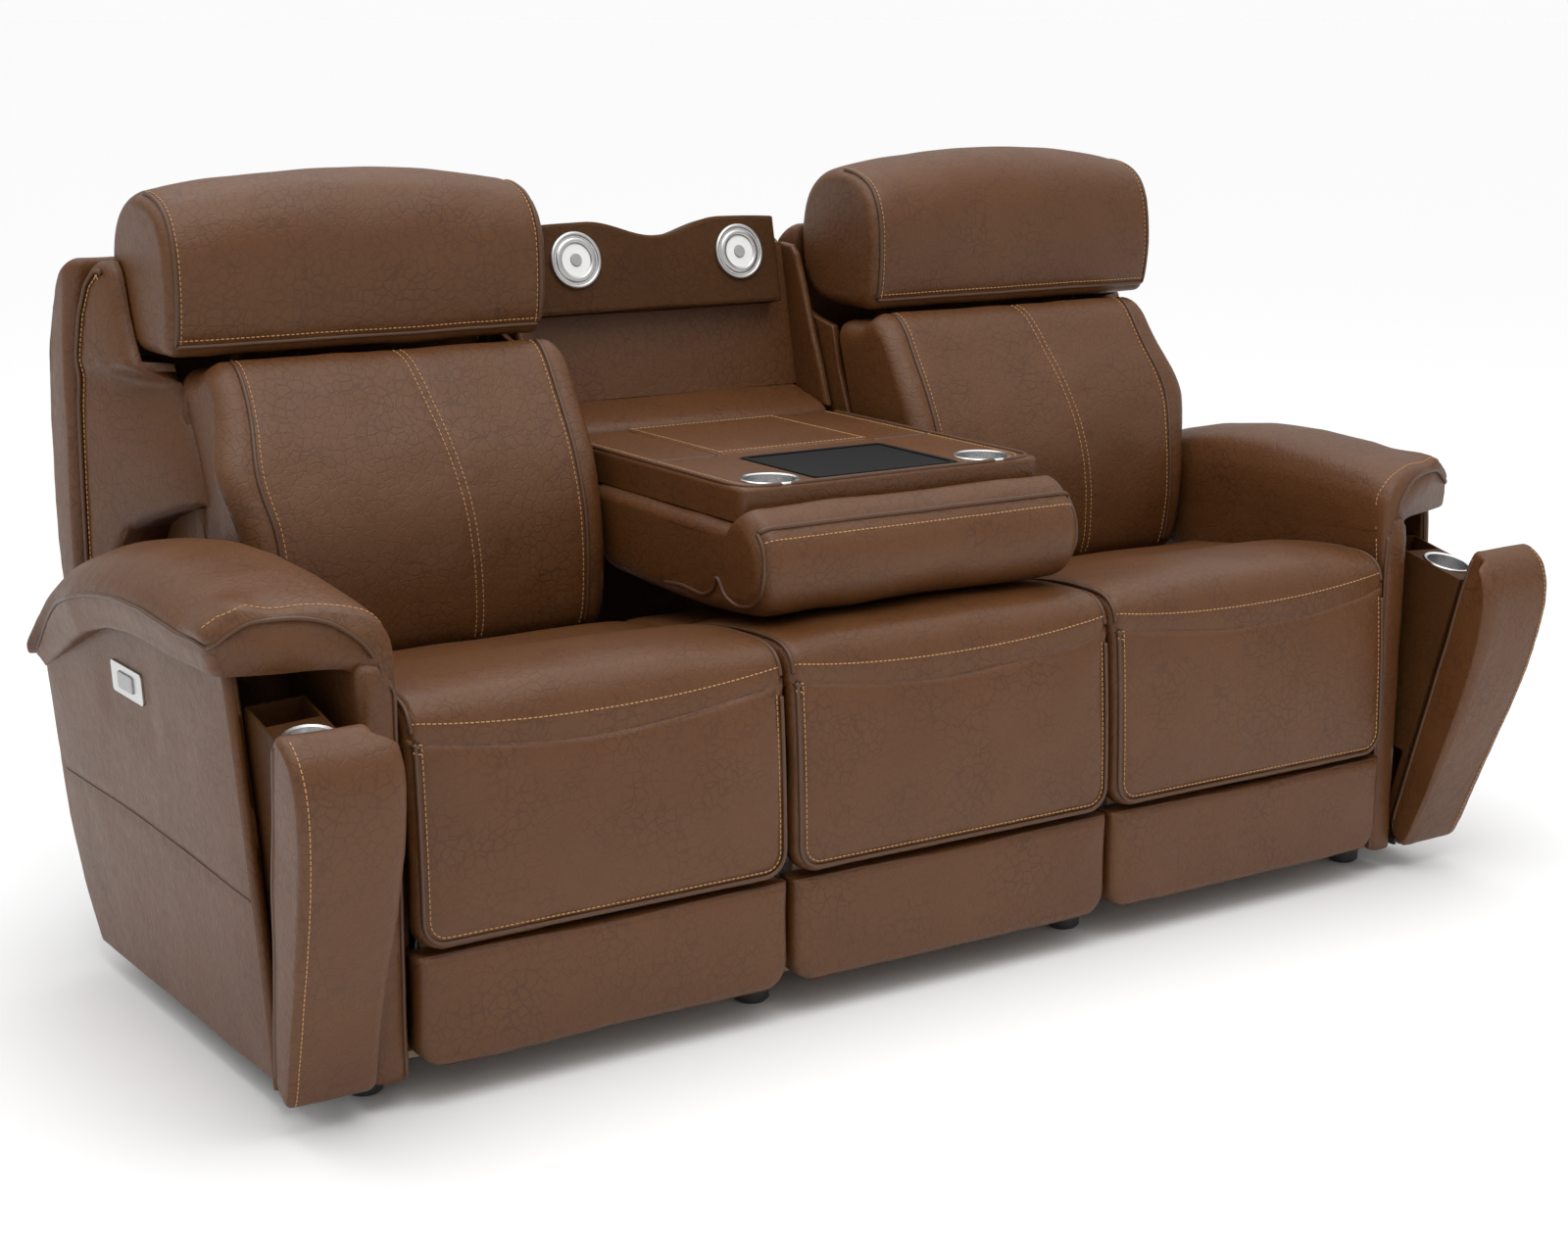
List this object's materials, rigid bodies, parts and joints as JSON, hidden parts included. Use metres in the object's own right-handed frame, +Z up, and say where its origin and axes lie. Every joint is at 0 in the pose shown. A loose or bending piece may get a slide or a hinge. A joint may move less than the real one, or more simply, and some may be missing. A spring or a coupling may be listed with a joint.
{
  "type": "power reclining sofa",
  "caption": "Leather power reclining sofa with reclining end seats, footrests, tilting headrests, fold-down table back, reading lights and tilt-out arm bins.",
  "frame": {"origin": "middle of the footprint in the shown pose, on the floor", "axes": "+X to the viewer's right when facing the sofa, -Y out of its front, +Z up"},
  "size_m": [2.1954, 1.1588, 1.1638],
  "materials": {
    "leather": "semi-gloss brown leather",
    "dark_leather": "dark brown leather",
    "hardwood": "sawn hardwood and plywood",
    "steel": "black enamel",
    "chrome": "polished",
    "brushed": "brushed",
    "plastic": "moulded, fine texture",
    "webbing": "woven strap",
    "rubber": "matt",
    "lens": "white diffuser",
    "key": "satin grey"
  },
  "bodies": {
    "frame": {"base_rails": "hardwood", "feet": "plastic", "seat_frames": "hardwood", "seat_webbing": "webbing", "centre_front_pad": "leather", "centre_lower_pad": "leather", "arm_outer_panels": "leather", "arm_inner_walls": "leather", "bin_hinges": "steel", "control_plates": "brushed", "table_brackets": "steel", "centre_ledge": "leather", "centre_back_board": "dark_leather", "centre_cheeks": "dark_leather", "rear_panels": "leather", "light_panel": "dark_leather", "mechanism_plates": "steel", "drive_motors": "steel", "arm_caps": "leather", "left_seat_cushion": "leather", "centre_seat_cushion": "leather", "right_seat_cushion": "leather", "light_bezels": "brushed", "light_lenses": "lens"},
    "left_back": {"left_back_cushion": "leather", "left_back_shell": "leather", "left_back_frame": "hardwood"},
    "left_headrest": {"left_headrest": "leather", "left_headrest_bracket": "steel"},
    "left_rear_links": {"left_rear_links": "steel"},
    "left_front_links": {"left_front_links": "steel"},
    "left_footrest": {"left_footrest_board": "hardwood", "left_footrest_pad": "leather", "left_footrest_lower_pad": "leather"},
    "left_drive_block": {"left_drive_block": "steel"},
    "left_bin": {"left_bin_box": "plastic", "left_bin_front": "leather", "left_bin_cup": "chrome"},
    "left_light_button": {"left_light_button": "key"},
    "left_recline_key": {"left_recline_key": "key"},
    "right_back": {"right_back_cushion": "leather", "right_back_shell": "leather", "right_back_frame": "hardwood"},
    "right_headrest": {"right_headrest": "leather", "right_headrest_bracket": "steel"},
    "right_rear_links": {"right_rear_links": "steel"},
    "right_front_links": {"right_front_links": "steel"},
    "right_footrest": {"right_footrest_board": "hardwood", "right_footrest_pad": "leather", "right_footrest_lower_pad": "leather"},
    "right_drive_block": {"right_drive_block": "steel"},
    "right_bin": {"right_bin_box": "plastic", "right_bin_front": "leather", "right_bin_cup": "chrome"},
    "right_light_button": {"right_light_button": "key"},
    "right_recline_key": {"right_recline_key": "key"},
    "table": {"table_slab": "leather", "table_cushion": "leather", "table_mat": "rubber", "table_cups": "chrome"}
  },
  "joints": [
    {"name": "left_recline", "type": "hinge", "parent": "frame", "child": "left_back", "pos_m": [-0.58, 0.0843, 0.43], "axis": [-1, 0, 0], "range_deg": [0, 28]},
    {"name": "left_headrest_tilt", "type": "hinge", "parent": "left_back", "child": "left_headrest", "pos_m": [-0.58, 0.2803, 0.913], "axis": [1, 0, 0], "range_deg": [0, 20]},
    {"name": "left_footrest", "type": "hinge", "parent": "frame", "child": "left_rear_links", "pos_m": [-0.58, -0.2057, 0.33], "axis": [-1, 0, 0], "range_deg": [0, 67.7]},
    {"name": "left_footrest_knee", "type": "hinge", "parent": "left_rear_links", "child": "left_front_links", "pos_m": [-0.58, -0.3257, 0.14], "axis": [1, 0, 0], "range_deg": [0, 141.2]},
    {"name": "left_footrest_board_turn", "type": "hinge", "parent": "left_front_links", "child": "left_footrest", "pos_m": [-0.58, -0.3657, 0.33], "axis": [-1, 0, 0], "range_deg": [0, 163.5]},
    {"name": "left_drive_slide", "type": "slide", "parent": "frame", "child": "left_drive_block", "axis": [0, -1, 0], "range_m": [0, 0.131]},
    {"name": "left_bin_tilt", "type": "hinge", "parent": "frame", "child": "left_bin", "pos_m": [-0.968, -0.4057, 0.046], "axis": [-1, 0, 0], "range_deg": [0, 13]},
    {"name": "left_light_press", "type": "slide", "parent": "frame", "child": "left_light_button", "axis": [0, 0.9781, -0.2079], "range_m": [0, 0.0015], "stiffness_N_per_m": 400},
    {"name": "left_key_press", "type": "slide", "parent": "frame", "child": "left_recline_key", "axis": [0.998, 0, 0.0637], "range_m": [0, 0.0015], "stiffness_N_per_m": 400},
    {"name": "right_recline", "type": "hinge", "parent": "frame", "child": "right_back", "pos_m": [0.58, 0.0843, 0.43], "axis": [-1, 0, 0], "range_deg": [0, 28]},
    {"name": "right_headrest_tilt", "type": "hinge", "parent": "right_back", "child": "right_headrest", "pos_m": [0.58, 0.2803, 0.913], "axis": [1, 0, 0], "range_deg": [0, 20]},
    {"name": "right_footrest", "type": "hinge", "parent": "frame", "child": "right_rear_links", "pos_m": [0.58, -0.2057, 0.33], "axis": [-1, 0, 0], "range_deg": [0, 67.7]},
    {"name": "right_footrest_knee", "type": "hinge", "parent": "right_rear_links", "child": "right_front_links", "pos_m": [0.58, -0.3257, 0.14], "axis": [1, 0, 0], "range_deg": [0, 141.2]},
    {"name": "right_footrest_board_turn", "type": "hinge", "parent": "right_front_links", "child": "right_footrest", "pos_m": [0.58, -0.3657, 0.33], "axis": [-1, 0, 0], "range_deg": [0, 163.5]},
    {"name": "right_drive_slide", "type": "slide", "parent": "frame", "child": "right_drive_block", "axis": [0, -1, 0], "range_m": [0, 0.131]},
    {"name": "right_bin_tilt", "type": "hinge", "parent": "frame", "child": "right_bin", "pos_m": [0.968, -0.4057, 0.046], "axis": [-1, 0, 0], "range_deg": [0, 13]},
    {"name": "right_light_press", "type": "slide", "parent": "frame", "child": "right_light_button", "axis": [0, 0.9781, -0.2079], "range_m": [0, 0.0015], "stiffness_N_per_m": 400},
    {"name": "right_key_press", "type": "slide", "parent": "frame", "child": "right_recline_key", "axis": [-0.998, 0, 0.0637], "range_m": [0, 0.0015], "stiffness_N_per_m": 400},
    {"name": "table_fold", "type": "hinge", "parent": "frame", "child": "table", "pos_m": [0, 0.1593, 0.696], "axis": [-1, 0, 0], "range_deg": [0, 109]}
  ],
  "couplings": [
    {"joint": "left_footrest_knee", "follows": "left_footrest", "ratio": 2.0783},
    {"joint": "left_footrest_board_turn", "follows": "left_footrest", "ratio": 2.4077},
    {"joint": "left_drive_slide", "follows": "left_footrest", "m_per_rad": 0.11002},
    {"joint": "right_footrest_knee", "follows": "right_footrest", "ratio": 2.0783},
    {"joint": "right_footrest_board_turn", "follows": "right_footrest", "ratio": 2.4077},
    {"joint": "right_drive_slide", "follows": "right_footrest", "m_per_rad": 0.11002}
  ]
}
